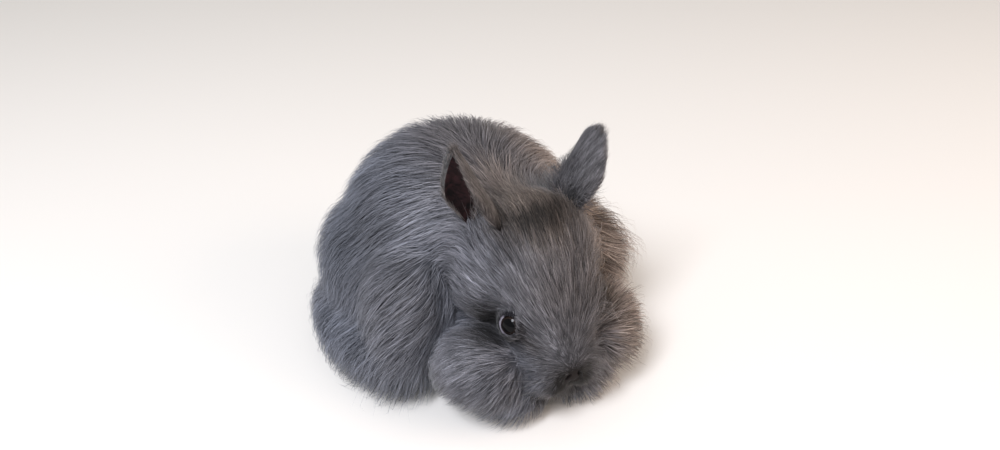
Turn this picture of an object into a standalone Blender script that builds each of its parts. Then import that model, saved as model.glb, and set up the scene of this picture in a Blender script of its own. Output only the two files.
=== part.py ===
# A young teddy dwarf rabbit, crouched with its nose low, life size.
# Metres, +Z up. The rabbit looks along -Y, its left side is +X, and it rests on z = 0.
import bisect
import math
import random

import bmesh
import bpy
from mathutils import Euler, Matrix, Vector
from mathutils.bvhtree import BVHTree

MM = 0.001

# Driving sizes. Each mass of the body is given out to the tips of its coat.
GAP = 0.3 * MM                 # left between two parts that touch
LIMB_ROOM = 1.3 * GAP          # a paw's room is grown from its own rough surface
FLOOR_CLEARANCE = 0.8 * MM     # the coat ends this far above the floor; only the soles reach it
EYE_RADIUS = 6.6 * MM
EYE_PLACE = Vector((19.0, -87.4, 58.8)) * MM
EYE_GAZE = (0.83, -0.49, 0.27)
EYE_HOLLOW = dict(centre=(33, -92, 61.5), radii=(14, 14, 10))
LID_THICKNESS = 0.9 * MM
LID_OPENING = (4.7 * MM, 5.8 * MM)  # half its height and half its length
EAR_LENGTH = 43.5 * MM
EAR_WIDTH = 31 * MM            # across the ear's widest part when it is laid flat
EAR_WALL = 2.0 * MM
EAR_ROOT = Vector((18, -61, 93)) * MM
EAR_TIPS = {-1: Vector((-34, -62.5, 136)) * MM, 1: Vector((40, -58.5, 131)) * MM}  # right and left
EAR_FACING = {-1: (-0.94, -0.25, 0), 1: (0.97, 0.03, 0)}  # the way each cup opens
# Half angles of its roll in radians, at its root and at its tip, for its front and its back edge
EAR_FRONT_CURL = {-1: (1.3, 2.3), 1: (1.5, 0.8)}
EAR_BACK_CURL = {-1: (1.35, 0.8), 1: (1.5, 0.8)}
EAR_LEAST_ROLL = 2.2 * MM      # the smallest radius of its roll
EAR_WIDEST = 0.42              # where along the ear it is widest
EAR_ROOT_WIDTH = 0.68          # its share of the full width at the root
EAR_BOW = 2.5 * MM             # how far its middle stands out of line
EAR_TIP_ROUNDNESS = {-1: 1.4, 1: 1.8}
EAR_TIP_POWER = {-1: 0.75, 1: 0.5}  # a larger one makes a sharper tip
EAR_SEAT = 0.33                # share of its half width by which the cup sits back from its axis
EAR_STEPS = 9
EAR_TIP_HALF_WIDTH = 1.6 * MM
CORE_SHARE = 0.5               # the core stops this share of the coat's depth short of its tips
COAT_SEED = 14
BODY_CELL = 2.8 * MM           # cells that melt the masses into one form
HEAD_CELL = 1.5 * MM
LIMB_CELL = 1.6 * MM
BODY_SMOOTHING = 16            # rounds of smoothing after the masses are melted
HEAD_SMOOTHING = 8
HOLLOW_SMOOTHING = 5
LIMB_SMOOTHING = 3
BODY_TRIANGLES = 1500          # kept in each core before its locks grow
HEAD_TRIANGLES = 3000
LIMB_TRIANGLES = 420


def mass(centre, radii, coat, turn=(0, 0, 0)):
    """A rounded mass in mm: centre, half sizes out to the coat's tips, depth of coat, turn in degrees."""
    return dict(centre=Vector(centre) * MM, radii=Vector(radii) * MM, coat=coat * MM, turn=turn)


MIDDLE_MASSES = dict(
    torso=mass((0, 2, 60), (66, 71, 57), 18),
    rump=mass((0, 24, 52), (62, 56, 50), 18),
    chest=mass((0, -42, 40), (48, 34, 37), 15),
    neck=mass((0, -46, 74), (42, 34, 33), 16, (-20, 0, 0)),
    cranium=mass((0, -66, 84), (30, 24, 25), 8, (-28, 0, 0)),
    bridge=mass((0, -78, 66), (24, 25, 42), 3, (-26, 0, 0)),
    muzzle=mass((0, -92, 41), (18.5, 17, 18.5), 1.5, (-20, 0, 0)),
    chin=mass((0, -84, 23), (14, 17, 14), 4),
    nose=mass((0, -104.5, 36), (5.5, 4.5, 5), 0),
    tail=mass((0, 76, 37), (15, 13, 18), 9, (20, 0, 0)),
)
SIDE_MASSES = dict(
    haunch=mass((46, 8, 40), (33, 52, 40), 17, (6, 0, 0)),
    flank=mass((42, -12, 38), (33, 40, 37), 17),
    skirt=mass((57, -3, 17), (31, 56, 20), 15),
    shoulder=mass((46, -36, 42), (29, 31, 42), 16),
    temple=mass((21, -62, 66), (17, 22, 26), 9, (-10, 0, 0)),
    cheek=mass((31, -77, 34), (27, 26, 24), 13, (8, 0, 0)),
    bib=mass((17, -82, 15), (19, 18, 14), 8),
    whisker_pad=mass((7.5, -98, 31), (10, 9.5, 9), 1.5),
)
# The forepaw and forearm lie under the head, and the long hind foot under the haunch
FORELIMB_MASSES = dict(
    elbow=mass((38, -36, 22), (13, 15, 15), 2),
    forearm=mass((29, -56, 12), (10, 22, 9), 2, (0, 0, 24)),
    paw=mass((21, -76, 5.3), (8.5, 12, 6.5), 1.5, (0, 0, 10)),
)
HINDFOOT_MASSES = dict(
    heel=mass((43, 48, 8), (9, 14, 9), 2),
    sole=mass((46, 22, 6), (9.5, 33, 7.5), 2, (0, 0, -3)),
    toes=mass((48, -1, 5.6), (10, 15, 6.8), 2, (0, 0, -3)),
)

# Locks of the coat, in mm: how far apart their roots are, and their size
BODY_LOCKS = dict(spacing=20.5, length=42, width=21.5, thickness=5.5, spans=4)
HEAD_LOCKS = dict(spacing=13.8, length=24, width=13.5, thickness=3.6, spans=3)
LOCK_SINK = 3.5 * MM           # how deep a root sits in the core
LOCK_REACH = 2.5 * MM          # how far a lock's back stands past the smooth outline
LOCK_RISE = (4 * MM, 12 * MM)  # least and greatest depth of coat that a lock fills
LOCK_SWING = 0.22              # how far its tip turns aside from the lie
LOCK_ROOT_WIDTH = 0.22         # share of half a turn at which a lock's outline starts
LOCK_DROOP = 0.22              # how far the tip bends back down
LOCK_BELLY_SLOPE = -0.55       # faces that look down more than this grow none
LOCK_LEAST_LIE = 0.55          # nor do places where the hair would stand straight out
LOCK_INERTIA = 0.6             # how strongly a lock keeps its own way from one section to the next
NOSE_TIP = Vector((0, -107, 37)) * MM
HEAD_END = -50 * MM            # behind this the coat lies as on the body
BODY_LOCKS_START = -56 * MM
HEAD_LIE_FALL = 0.25           # how much the hair of the head hangs
BODY_LIE = dict(outward=15, back=0.7, down=0.8)  # outward for each metre from the middle
LIE_BLEND = 16 * MM
LOCK_TRIES = 6000
BODY_SIDE_OF_HEAD = -5 * MM    # locks that stay this far inside the head's cell grow only on the head
HEAD_SIDE_OF_HEAD = 3 * MM
EYE_CLEARANCE = 14 * MM        # bare of locks, round eye, ear and nose
EAR_CLEARANCE = 13 * MM
NOSE_CLEARANCE = 27 * MM

# Lines cut into the face, in mm: place, half sizes and turn
NOSE_GROOVE = dict(place=(0, -108, 27.5), radii=(0.8, 3.4, 6), turn=(-14, 0, 0))
NOSTRIL = dict(place=(3.2, -108.1, 35.6), radii=(1.0, 2.8, 2.4), turn=(0, -38, 0))
MOUTH = dict(place=(5.2, -103.6, 21.8), radii=(7.0, 5.4, 0.9), turn=(0, 24, 20))

# Cells that part the body, each an oval or a plane, in mm
HEAD_CELL_OVAL = dict(centre=(0, -94, 64), radii=(75, 52, 70))
FORELEG_OVAL = dict(y=-35, z=32, half_length=25, half_height=46, inner=31)
HINDLEG_OVAL = dict(y=27, z=32, half_length=39, half_height=43, inner=35)
TAIL_OVAL = dict(z=37, half_width=15, half_height=19, start=71)
NECK_PLANE = dict(y=-60, z=30, lean=27)


def clear_scene():
    for item in list(bpy.data.objects):
        bpy.data.objects.remove(item, do_unlink=True)


def new_collection(name):
    collection = bpy.data.collections.new(name)
    bpy.context.scene.collection.children.link(collection)
    return collection


clear_scene()
RABBIT = new_collection("teddy_dwarf_rabbit")
CUTTERS = new_collection("cutters")


def add_object(name, mesh, collection):
    item = bpy.data.objects.new(name, mesh)
    collection.objects.link(item)
    return item


def make_guide(item):
    """A cutter or a guide never shows."""
    item.hide_render = True
    item.display_type = "WIRE"
    return item


def remove_object(item):
    mesh = item.data
    bpy.data.objects.remove(item, do_unlink=True)
    bpy.data.meshes.remove(mesh)


def apply_modifiers(item):
    graph = bpy.context.evaluated_depsgraph_get()
    mesh = bpy.data.meshes.new_from_object(item.evaluated_get(graph), depsgraph=graph)
    item.modifiers.clear()
    old_mesh = item.data
    item.data = mesh
    bpy.data.meshes.remove(old_mesh)


def mass_matrix(form, shrink, mirrored):
    """Where a unit sphere goes to become the mass, drawn in by shrink on every side."""
    centre = form["centre"].copy()
    turn = [math.radians(angle) for angle in form["turn"]]
    if mirrored:
        centre.x = -centre.x
        turn = [turn[0], -turn[1], -turn[2]]
    radii = [radius - shrink for radius in form["radii"]]
    return Matrix.LocRotScale(centre, Euler(turn), radii)


def smooth_out(item, rounds):
    smooth = item.modifiers.new("Smooth", "SMOOTH")
    smooth.factor = 0.5
    smooth.iterations = rounds
    apply_modifiers(item)


def melt(name, forms, cell, smoothing, share=0.0):
    """Melts masses into one closed form. forms holds (mass, mirrored) pairs."""
    mesh = bpy.data.meshes.new(name)
    shape = bmesh.new()
    for form, mirrored in forms:
        matrix = mass_matrix(form, form["coat"] * share, mirrored)
        bmesh.ops.create_icosphere(shape, subdivisions=4, radius=1, matrix=matrix)
    shape.to_mesh(mesh)
    shape.free()
    item = make_guide(add_object(name, mesh, CUTTERS))
    remesh = item.modifiers.new("Melt", "REMESH")
    remesh.mode = "VOXEL"
    remesh.voxel_size = cell
    apply_modifiers(item)
    smooth_out(item, smoothing)
    return item


def thin_out(item, triangles):
    """Keeps about this many triangles, most of them where the form bends."""
    item.data.calc_loop_triangles()
    decimate = item.modifiers.new("Thin out", "DECIMATE")
    decimate.ratio = min(1.0, triangles / len(item.data.loop_triangles))
    decimate.use_collapse_triangulate = True
    apply_modifiers(item)


def copy_object(item, name, collection=None):
    return add_object(name, item.data.copy(), collection or CUTTERS)


def shape_volume(faces):
    total = 0.0
    for face in faces:
        first = face.verts[0].co
        for second, third in zip(face.verts[1:-1], face.verts[2:]):
            total += first.dot(second.co.cross(third.co)) / 6
    return total


def keep_largest(item):
    """Keeps only the largest closed surface of an object."""
    shape = bmesh.new()
    shape.from_mesh(item.data)
    bmesh.ops.triangulate(shape, faces=shape.faces)
    unseen = set(shape.faces)
    pieces = []
    while unseen:
        piece = {unseen.pop()}
        front = list(piece)
        while front:
            face = front.pop()
            for edge in face.edges:
                if len(edge.link_faces) != 2:
                    continue
                for neighbour in edge.link_faces:
                    if neighbour in unseen:
                        unseen.discard(neighbour)
                        piece.add(neighbour)
                        front.append(neighbour)
        pieces.append(piece)
    pieces.sort(key=shape_volume)
    loose = [face for piece in pieces[:-1] for face in piece]
    bmesh.ops.delete(shape, geom=loose, context="FACES")
    shape.to_mesh(item.data)
    shape.free()


# Cutters

def ball(name, centre, radii, turn=(0, 0, 0), detail=3):
    mesh = bpy.data.meshes.new(name)
    shape = bmesh.new()
    turn = Euler([math.radians(angle) for angle in turn])
    bmesh.ops.create_icosphere(
        shape, subdivisions=detail, radius=1, matrix=Matrix.LocRotScale(Vector(centre), turn, Vector(radii)))
    shape.to_mesh(mesh)
    shape.free()
    return make_guide(add_object(name, mesh, CUTTERS))


def bar(name, centre, turn, half_x, half_y, length, sides=20):
    """An oval bar along its own Z, of the given length, with its middle at centre."""
    mesh = bpy.data.meshes.new(name)
    shape = bmesh.new()
    matrix = Matrix.LocRotScale(Vector(centre), turn, Vector((half_x, half_y, length)))
    bmesh.ops.create_cone(
        shape, cap_ends=True, segments=sides, radius1=1, radius2=1, depth=1, matrix=matrix)
    shape.to_mesh(mesh)
    shape.free()
    return make_guide(add_object(name, mesh, CUTTERS))


def block(name, centre, turn, size):
    mesh = bpy.data.meshes.new(name)
    shape = bmesh.new()
    bmesh.ops.create_cube(shape, size=1, matrix=Matrix.LocRotScale(Vector(centre), turn, Vector(size)))
    shape.to_mesh(mesh)
    shape.free()
    return make_guide(add_object(name, mesh, CUTTERS))


def head_cell(grow):
    radii = [radius * MM + grow for radius in HEAD_CELL_OVAL["radii"]]
    return ball("head_cell", Vector(HEAD_CELL_OVAL["centre"]) * MM, radii, detail=2)


def leg_cell(oval, side, grow):
    """An oval bar that takes one leg, from its inner face outwards."""
    reach = 120 * MM
    inner = oval["inner"] * MM - grow
    centre = (side * (inner + reach / 2), oval["y"] * MM, oval["z"] * MM)
    turn = Euler((0, math.radians(90), 0))
    half_height = oval["half_height"] * MM + grow
    half_length = oval["half_length"] * MM + grow
    return bar("leg_cell", centre, turn, half_height, half_length, reach)


def tail_cell(grow):
    reach = 60 * MM
    start = TAIL_OVAL["start"] * MM - grow
    centre = (0, start + reach / 2, TAIL_OVAL["z"] * MM)
    turn = Euler((math.radians(90), 0, 0))
    half_width = TAIL_OVAL["half_width"] * MM + grow
    half_height = TAIL_OVAL["half_height"] * MM + grow
    return bar("tail_cell", centre, turn, half_width, half_height, reach)


def neck_block(front, grow):
    """A large block whose one face lies on the plane between neck and torso."""
    size = 400 * MM
    lean = math.radians(NECK_PLANE["lean"])
    point = Vector((0, NECK_PLANE["y"], NECK_PLANE["z"])) * MM
    away = Vector((0, -math.cos(lean), math.sin(lean))) * (1 if front else -1)
    centre = point + away * (size / 2 - grow)
    return block("neck_block", centre, Euler((-lean, 0, 0)), (size, size, size))


def floor_block(top):
    size = 400 * MM
    return block("floor_block", (0, 0, top - size / 2), Euler(), (size, size, size))


def cut(item, cutter, operation="DIFFERENCE"):
    """The manifold solver, because the exact one leaves open edges among the locks."""
    modifier = item.modifiers.new("Cut", "BOOLEAN")
    modifier.operation = operation
    modifier.solver = "MANIFOLD"
    modifier.object = cutter
    apply_modifiers(item)
    remove_object(cutter)


# Coat

def lie(point, normal):
    """The way the hair lies: from the nose back over the head, then back, outwards and down.

    It is short where the hair would have to point straight away from the surface.
    """
    over_head = (point - NOSE_TIP).normalized() - Vector((0, 0, HEAD_LIE_FALL))
    over_body = Vector((point.x * BODY_LIE["outward"], BODY_LIE["back"], -BODY_LIE["down"]))
    share = min(max((point.y - HEAD_END) / LIE_BLEND + 0.5, 0), 1)
    way = over_head.lerp(over_body, share).normalized()
    return way - normal * way.dot(normal)


def spaced_roots(core, chance, spacing_at):
    """Random places on a surface, none nearer to another than the spacing there."""
    mesh = core.data
    mesh.calc_loop_triangles()
    triangles = mesh.loop_triangles
    corners = mesh.vertices
    totals = []
    total = 0.0
    for triangle in triangles:
        total += triangle.area
        totals.append(total)
    roots = []
    for _ in range(LOCK_TRIES):
        triangle = triangles[min(bisect.bisect(totals, chance.random() * total), len(triangles) - 1)]
        a, b, c = (corners[index].co for index in triangle.vertices)
        u, v = chance.random(), chance.random()
        if u + v > 1:
            u, v = 1 - u, 1 - v
        place = a + (b - a) * u + (c - a) * v
        spacing = spacing_at(place, triangle.normal)
        if lie(place, triangle.normal).length < LOCK_LEAST_LIE:
            continue
        if spacing and all((place - other).length > spacing for other in roots):
            roots.append(place)
    return roots


def lock_spacing(place, normal):
    """Wide apart on the body, closer on the head, and none on the face's short fur or the belly."""
    if normal.z < LOCK_BELLY_SLOPE:
        return None
    if place.y > BODY_LOCKS_START:
        return BODY_LOCKS["spacing"] * MM
    for spot, clearance in ((EYE_PLACE, EYE_CLEARANCE), (EAR_ROOT, EAR_CLEARANCE)):
        for side in (-1, 1):
            if (place - Vector((side * spot.x, spot.y, spot.z))).length < clearance:
                return None
    if (place - NOSE_TIP).length < NOSE_CLEARANCE:
        return None
    return HEAD_LOCKS["spacing"] * MM


def lock_sections(root, sizes, core, envelope, chance):
    """Walks over the core from a root along the lie of the coat, rising to the coat's tips."""
    length = sizes["length"] * MM * chance.uniform(0.85, 1.12)
    width = sizes["width"] * MM * chance.uniform(0.85, 1.15)
    thickness = sizes["thickness"] * MM
    swing = chance.uniform(-LOCK_SWING, LOCK_SWING)
    place = root
    way = Vector()
    sections = []
    for station in range(sizes["spans"] + 1):
        share = station / sizes["spans"]
        place, normal, _, _ = core.find_nearest(place)
        way = lie(place, normal) + way * LOCK_INERTIA
        way += way.cross(normal) * swing * share
        way = (way - normal * way.dot(normal)).normalized()
        across = way.cross(normal)
        hit = envelope.ray_cast(place, normal)
        depth = min(hit[3], LOCK_RISE[1]) if hit[0] else LOCK_RISE[0]
        half_width = width / 2 * math.sin(math.pi * (LOCK_ROOT_WIDTH + (1 - LOCK_ROOT_WIDTH) * share))
        half_thickness = thickness / 2 * (1 - 0.55 * share)
        top = depth + LOCK_REACH - half_thickness
        height = -LOCK_SINK + (top + LOCK_SINK) * (1 - (1 - share) ** 2.2 - LOCK_DROOP * share ** 4)
        middle = place + normal * height
        sections.append((middle, across * half_width, normal * half_thickness))
        place = place + way * (length / sizes["spans"])
    return sections


def make_lock(sections, collection):
    """A flat, tapered lock with a lens section, closed at its root and pointed at its tip."""
    shape = bmesh.new()
    rings = []
    for middle, across, up in sections[:-1]:
        points = [middle + across, middle + up, middle - across, middle - up]
        rings.append([shape.verts.new(point) for point in points])
    tip = shape.verts.new(sections[-1][0])
    for lower, upper in zip(rings, rings[1:]):
        for side in range(4):
            after = (side + 1) % 4
            shape.faces.new((lower[side], lower[after], upper[after], upper[side]))
    for side in range(4):
        shape.faces.new((rings[-1][side], rings[-1][(side + 1) % 4], tip))
    shape.faces.new(rings[0])
    bmesh.ops.recalc_face_normals(shape, faces=shape.faces)
    bmesh.ops.triangulate(shape, faces=shape.faces)
    mesh = bpy.data.meshes.new("lock")
    shape.to_mesh(mesh)
    shape.free()
    return make_guide(add_object("lock", mesh, collection))


def surface_of(item):
    shape = bmesh.new()
    shape.from_mesh(item.data)
    tree = BVHTree.FromBMesh(shape)
    shape.free()
    return tree


def coat_sections(core_item, envelope_item):
    """The sections of every lock, those of the body and those of the head."""
    chance = random.Random(COAT_SEED)
    core = surface_of(core_item)
    envelope = surface_of(envelope_item)
    locks = []
    for root in spaced_roots(core_item, chance, lock_spacing):
        sizes = BODY_LOCKS if root.y > BODY_LOCKS_START else HEAD_LOCKS
        locks.append(lock_sections(root, sizes, core, envelope, chance))
    return locks


def in_head(point, margin):
    """Whether a point lies in the head's cell, or within a margin of it."""
    centre = Vector(HEAD_CELL_OVAL["centre"]) * MM
    return sum(((point[axis] - centre[axis]) / (HEAD_CELL_OVAL["radii"][axis] * MM + margin)) ** 2
               for axis in range(3)) < 1


def join_locks(item, locks):
    """Fuses locks into the form that they grow from."""
    collection = new_collection("locks")
    for sections in locks:
        make_lock(sections, collection)
    modifier = item.modifiers.new("Coat", "BOOLEAN")
    modifier.operation = "UNION"
    modifier.operand_type = "COLLECTION"
    modifier.collection = collection
    modifier.solver = "MANIFOLD"
    apply_modifiers(item)
    for lock in list(collection.objects):
        remove_object(lock)
    bpy.data.collections.remove(collection)
    keep_largest(item)


# Whole coat, then its parts

def body_forms():
    forms = [(form, False) for form in MIDDLE_MASSES.values()]
    forms += [(form, mirrored) for form in SIDE_MASSES.values() for mirrored in (False, True)]
    return forms


def limb(name, masses, side, grow):
    forms = [(form, side < 0) for form in masses.values()]
    item = melt(name, forms, LIMB_CELL, LIMB_SMOOTHING)
    thin_out(item, LIMB_TRIANGLES)
    swell = item.modifiers.new("Swell", "DISPLACE")
    swell.mid_level = 0
    swell.strength = grow
    apply_modifiers(item)
    cut(item, floor_block(-grow))
    return item


def clear_of_limbs(item):
    """Takes the room of the paws and hind feet, and the gap round them, out of a part."""
    for masses in (FORELIMB_MASSES, HINDFOOT_MASSES):
        for side in (-1, 1):
            cut(item, limb("room", masses, side, LIMB_ROOM))


def finish_part(item, name, material):
    keep_largest(item)
    item.name = name
    item.data.name = name
    CUTTERS.objects.unlink(item)
    RABBIT.objects.link(item)
    item.hide_render = False
    item.display_type = "TEXTURED"
    item.data.materials.clear()
    item.data.materials.append(material)
    item.data.shade_smooth()
    item.data.set_sharp_from_angle(angle=math.radians(50))


def part_material(name, colour, roughness):
    material = bpy.data.materials.new(name)
    material.use_nodes = True
    shader = material.node_tree.nodes["Principled BSDF"]
    shader.inputs["Base Color"].default_value = (*colour, 1)
    shader.inputs["Roughness"].default_value = roughness
    shader.inputs["Metallic"].default_value = 0
    material.diffuse_color = (*colour, 1)
    return material


COAT_BLUE = part_material("blue_grey_coat", (0.13, 0.135, 0.155), 0.85)
COAT_WARM = part_material("warm_grey_coat", (0.15, 0.13, 0.125), 0.85)
EAR_SKIN = part_material("ear_skin", (0.16, 0.10, 0.11), 0.6)
EYE_BLACK = part_material("eye_black", (0.006, 0.006, 0.008), 0.08)


def ear_outline(side, along):
    """Share of the full width: wider from the root to the middle, then narrower to the tip."""
    if along < EAR_WIDEST:
        return EAR_ROOT_WIDTH + (1 - EAR_ROOT_WIDTH) * math.sin(math.pi / 2 * along / EAR_WIDEST)
    share = max(1 - ((along - EAR_WIDEST) / (1 - EAR_WIDEST)) ** EAR_TIP_ROUNDNESS[side], 0)
    return share ** EAR_TIP_POWER[side]


def ear_sheet(side, grow=0.0):
    """One ear as a rolled sheet: a near tube at its root that opens into a cup, facing sideways."""
    root = Vector((side * EAR_ROOT.x, EAR_ROOT.y, EAR_ROOT.z))
    axis = (EAR_TIPS[side] - root).normalized()
    facing = Vector(EAR_FACING[side])
    facing = (facing - axis * facing.dot(axis)).normalized()
    across = axis.cross(facing)
    mesh = bpy.data.meshes.new("ear")
    shape = bmesh.new()
    bmesh.ops.create_grid(shape, x_segments=EAR_STEPS, y_segments=EAR_STEPS, size=1)
    for vertex in shape.verts:
        along = 1 - ((1 - vertex.co.y) / 2) ** 1.4
        half_width = max(EAR_WIDTH / 2 * ear_outline(side, along), EAR_TIP_HALF_WIDTH)
        curls = EAR_FRONT_CURL if vertex.co.x * side < 0 else EAR_BACK_CURL
        curl = curls[side][0] + (curls[side][1] - curls[side][0]) * along ** 0.8
        curl = min(curl, half_width / EAR_LEAST_ROLL)
        radius = half_width / curl
        angle = vertex.co.x * (1 + grow / half_width) * curl
        along -= (1 - along) * grow / EAR_LENGTH
        bow = EAR_BOW * math.sin(math.pi * along)
        vertex.co = (root + axis * (along * EAR_LENGTH) + across * (radius * math.sin(angle))
                     + facing * (radius * (1 - math.cos(angle)) - half_width * EAR_SEAT + bow))
    bmesh.ops.recalc_face_normals(shape, faces=shape.faces)
    shape.to_mesh(mesh)
    shape.free()
    item = make_guide(add_object("ear", mesh, CUTTERS))
    solidify = item.modifiers.new("Wall", "SOLIDIFY")
    solidify.thickness = EAR_WALL + 2 * grow
    solidify.offset = 0
    apply_modifiers(item)
    return item


def eye_ball(side, radius):
    mesh = bpy.data.meshes.new("eye")
    shape = bmesh.new()
    place = Matrix.Translation((side * EYE_PLACE.x, EYE_PLACE.y, EYE_PLACE.z))
    bmesh.ops.create_uvsphere(shape, u_segments=16, v_segments=10, radius=radius, matrix=place)
    shape.to_mesh(mesh)
    shape.free()
    return make_guide(add_object("eye", mesh, CUTTERS))


def press_in_eyes(head):
    """The hollow between forehead and cheek that each eye lies in."""
    for side in (-1, 1):
        x, y, z = EYE_HOLLOW["centre"]
        cut(head, ball("hollow", Vector((side * x, y, z)) * MM, Vector(EYE_HOLLOW["radii"]) * MM))
    smooth_out(head, HOLLOW_SMOOTHING)


def gaze(side):
    return Vector((side * EYE_GAZE[0], EYE_GAZE[1], EYE_GAZE[2])).normalized()


def add_lids(head, side):
    """A thin shell over the eye, open along an almond."""
    place = Vector((side * EYE_PLACE.x, EYE_PLACE.y, EYE_PLACE.z))
    outer = EYE_RADIUS + GAP + LID_THICKNESS
    lids = ball("lids", place, (outer, outer, outer), detail=2)
    cut(head, lids, "UNION")
    cut(head, eye_ball(side, EYE_RADIUS + GAP))
    turn = gaze(side).to_track_quat("Z", "Y").to_euler()
    centre = place + gaze(side) * EYE_RADIUS
    opening = bar("opening", centre, turn, *LID_OPENING, EYE_RADIUS * 1.3, 16)
    cut(head, opening)


def cut_line(head, line, side):
    x, y, z = line["place"]
    turn_x, turn_y, turn_z = line["turn"]
    place = Vector((side * x, y, z)) * MM
    radii = Vector(line["radii"]) * MM
    cut(head, ball("line", place, radii, (turn_x, side * turn_y, side * turn_z), 2))


def cut_face_lines(head):
    """The groove under the nose, the nostrils and the line of the mouth."""
    cut_line(head, NOSE_GROOVE, 1)
    for side in (-1, 1):
        cut_line(head, NOSTRIL, side)
        cut_line(head, MOUTH, side)


def build():
    envelope = melt("envelope", body_forms(), BODY_CELL, BODY_SMOOTHING)
    whole = melt("whole", body_forms(), BODY_CELL, BODY_SMOOTHING, CORE_SHARE)
    locks = coat_sections(whole, envelope)
    remove_object(envelope)
    thin_out(whole, BODY_TRIANGLES)
    join_locks(whole, [lock for lock in locks if not all(in_head(part[0], BODY_SIDE_OF_HEAD) for part in lock)])
    cut(whole, floor_block(FLOOR_CLEARANCE))
    fine = melt("fine", body_forms(), HEAD_CELL, HEAD_SMOOTHING, CORE_SHARE)
    press_in_eyes(fine)
    thin_out(fine, HEAD_TRIANGLES)
    join_locks(fine, [lock for lock in locks if any(in_head(part[0], HEAD_SIDE_OF_HEAD) for part in lock)])
    cut(fine, floor_block(FLOOR_CLEARANCE))

    head = fine
    cut(head, head_cell(0), "INTERSECT")
    for side in (-1, 1):
        add_lids(head, side)
        cut(head, ear_sheet(side, GAP))
        cut(whole, ear_sheet(side, GAP))
    cut_face_lines(head)
    clear_of_limbs(head)
    cut(whole, head_cell(GAP))
    finish_part(head, "head", COAT_BLUE)

    legs = (
        ("foreleg_", FORELEG_OVAL, FORELIMB_MASSES, HINDFOOT_MASSES, COAT_BLUE),
        ("hindleg_", HINDLEG_OVAL, HINDFOOT_MASSES, FORELIMB_MASSES, COAT_WARM),
    )
    for name, oval, masses, other_masses, material in legs:
        for side, word in ((1, "left"), (-1, "right")):
            leg = copy_object(whole, "leg")
            cut(leg, leg_cell(oval, side, 0), "INTERSECT")
            cut(leg, limb("room", other_masses, side, LIMB_ROOM))
            cut(leg, limb("limb", masses, side, 0), "UNION")
            finish_part(leg, name + word, material)
            cut(whole, leg_cell(oval, side, GAP))
    clear_of_limbs(whole)
    tail = copy_object(whole, "tail")
    cut(tail, tail_cell(0), "INTERSECT")
    finish_part(tail, "tail", COAT_WARM)
    cut(whole, tail_cell(GAP))
    neck = copy_object(whole, "neck")
    cut(neck, neck_block(True, 0), "INTERSECT")
    finish_part(neck, "neck", COAT_WARM)
    cut(whole, neck_block(False, -GAP), "INTERSECT")
    finish_part(whole, "torso", COAT_BLUE)

    for side, word in ((1, "left"), (-1, "right")):
        finish_part(ear_sheet(side), "ear_" + word, EAR_SKIN)
        finish_part(eye_ball(side, EYE_RADIUS), "eye_" + word, EYE_BLACK)


def centre_on_floor():
    """Moves the rabbit along the floor until its box is centred on the origin."""
    points = [vertex.co for item in RABBIT.objects for vertex in item.data.vertices]
    middle = [(min(point[axis] for point in points) + max(point[axis] for point in points)) / 2
              for axis in (0, 1)]
    for item in RABBIT.objects:
        item.data.transform(Matrix.Translation((-middle[0], -middle[1], 0)))


build()
centre_on_floor()
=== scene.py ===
# A young teddy dwarf rabbit, crouched with its nose low, as a still, life-size model.
import math
import random
import bmesh
import bpy
import numpy as np
from mathutils import Euler, Matrix, Vector
from mathutils.bvhtree import BVHTree
from mathutils.kdtree import KDTree


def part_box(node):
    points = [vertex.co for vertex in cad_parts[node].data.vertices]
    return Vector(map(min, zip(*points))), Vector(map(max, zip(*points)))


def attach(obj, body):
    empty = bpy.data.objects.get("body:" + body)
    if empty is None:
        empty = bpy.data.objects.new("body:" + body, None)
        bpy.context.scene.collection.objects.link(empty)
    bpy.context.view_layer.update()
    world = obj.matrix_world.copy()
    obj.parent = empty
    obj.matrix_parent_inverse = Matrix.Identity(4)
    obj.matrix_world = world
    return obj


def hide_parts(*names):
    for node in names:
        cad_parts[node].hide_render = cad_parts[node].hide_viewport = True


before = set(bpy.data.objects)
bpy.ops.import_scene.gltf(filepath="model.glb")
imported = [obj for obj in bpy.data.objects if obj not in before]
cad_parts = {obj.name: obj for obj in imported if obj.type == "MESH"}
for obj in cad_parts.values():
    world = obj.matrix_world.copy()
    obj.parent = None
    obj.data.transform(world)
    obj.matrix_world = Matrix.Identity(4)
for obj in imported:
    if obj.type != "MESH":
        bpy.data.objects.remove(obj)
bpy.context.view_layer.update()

mm = 0.001
chance = np.random.default_rng(7)
print("frame loaded")

# Places below are in mm, before the model is centred on the origin. A side is 1 for the rabbit's left and
# -1 for its right. The left eye's node shows how far the solids were moved.
eye = dict(
    radius=6.6, place=(19.0, -87.4, 58.8), gaze=(0.82, -0.48, 0.31), bulge=0.12,
    hollow=((33, -92, 61.5), (14, 14, 10)), pocket=((31, -84, 56), (9, 8, 6)), lid=0.75, gap=0.15,
    opening=(4.1, 4.8), openingDepth=1.3)
eyeLow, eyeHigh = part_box("eye_left")
eyeMiddle = (eyeLow + eyeHigh) / 2 / mm
shift = Vector((eyeMiddle.x - eye["place"][0], eyeMiddle.y - eye["place"][1], 0)) * mm


def linear(hexColour):
    # sRGB hex to the linear values that shaders take
    parts = [int(hexColour[i:i + 2], 16) / 255 for i in (1, 3, 5)]
    return tuple(c / 12.92 if c <= 0.04045 else ((c + 0.055) / 1.055) ** 2.4 for c in parts)


def opaque(hexColour):
    return (*linear(hexColour), 1)


def onSide(place, side):
    # A place or way given for the left, as it is on that side
    return side * place[0], place[1], place[2]


def turned(turn, side=1):
    # Degrees about x, y and z, mirrored for the right side
    return Euler([math.radians(turn[0]), math.radians(turn[1] * side), math.radians(turn[2] * side)])


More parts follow.
